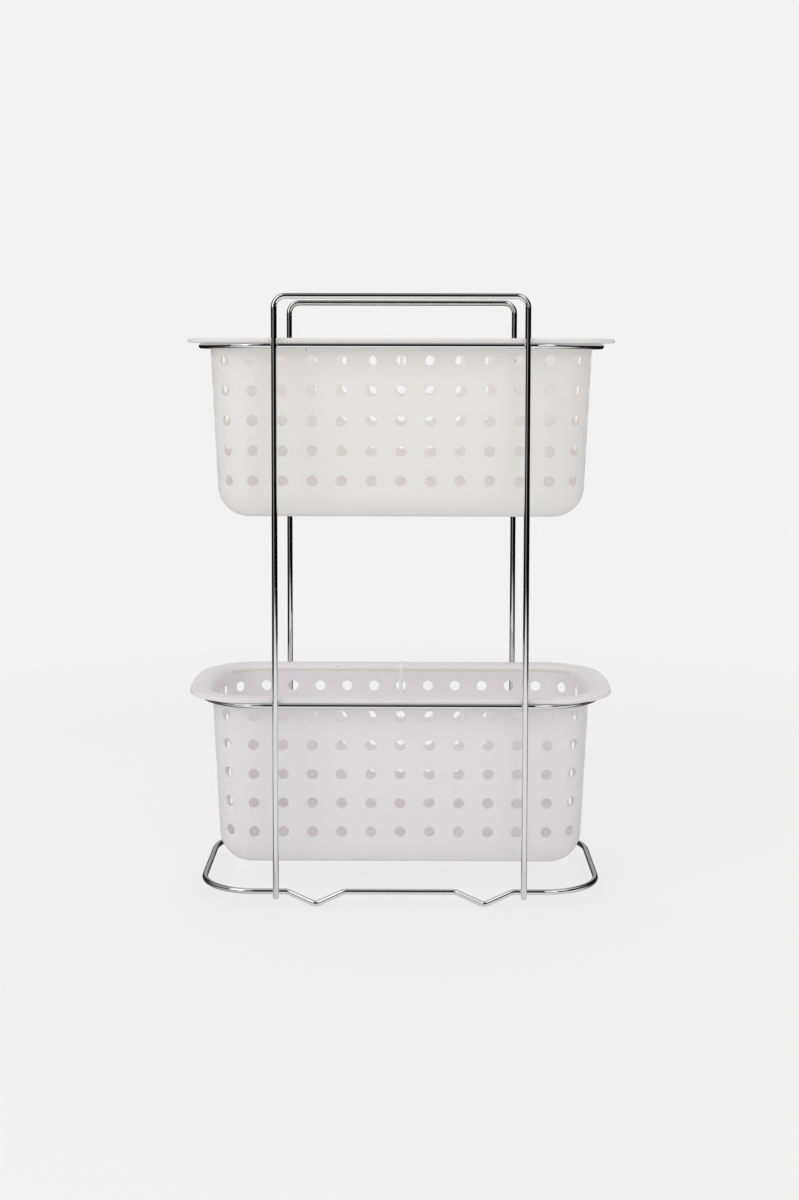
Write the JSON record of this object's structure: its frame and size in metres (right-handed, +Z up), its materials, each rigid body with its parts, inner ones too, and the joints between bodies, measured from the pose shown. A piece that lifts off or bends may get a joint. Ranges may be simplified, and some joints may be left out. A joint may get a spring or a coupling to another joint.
{
  "type": "two-tier bathroom basket rack",
  "caption": "Free-standing chrome wire rack that carries frosted plastic perforated baskets one above the other, each lifting out of its ring.",
  "frame": {"origin": "on the floor, under the middle of the rack's footprint, at the height of the feet's undersides", "axes": "+Z up; +X to the right along the long side of the baskets; the front faces -Y"},
  "size_m": [0.2944, 0.1526, 0.417],
  "materials": {
    "front_hoop_wire": "bright chrome plate",
    "rear_hoop_wire": "bright chrome plate",
    "upper_ring_wire": "bright chrome plate",
    "lower_ring_wire": "bright chrome plate",
    "base_ring_wire": "bright chrome plate",
    "upper_basket_plastic": "frosted, slightly translucent white",
    "lower_basket_plastic": "frosted, slightly translucent white"
  },
  "bodies": {
    "frame": {"front_hoop": "front_hoop_wire", "rear_hoop": "rear_hoop_wire", "upper_ring": "upper_ring_wire", "lower_ring": "lower_ring_wire", "base_ring": "base_ring_wire"},
    "upper_basket": {"upper_basket": "upper_basket_plastic"},
    "lower_basket": {"lower_basket": "lower_basket_plastic"}
  },
  "joints": [
    {"name": "upper_basket_lift", "type": "slide", "parent": "frame", "child": "upper_basket", "axis": [0, 0, 1], "range_m": [0, 0.155]},
    {"name": "lower_basket_lift", "type": "slide", "parent": "frame", "child": "lower_basket", "axis": [0, 0, 1], "range_m": [0, 0.12]}
  ]
}
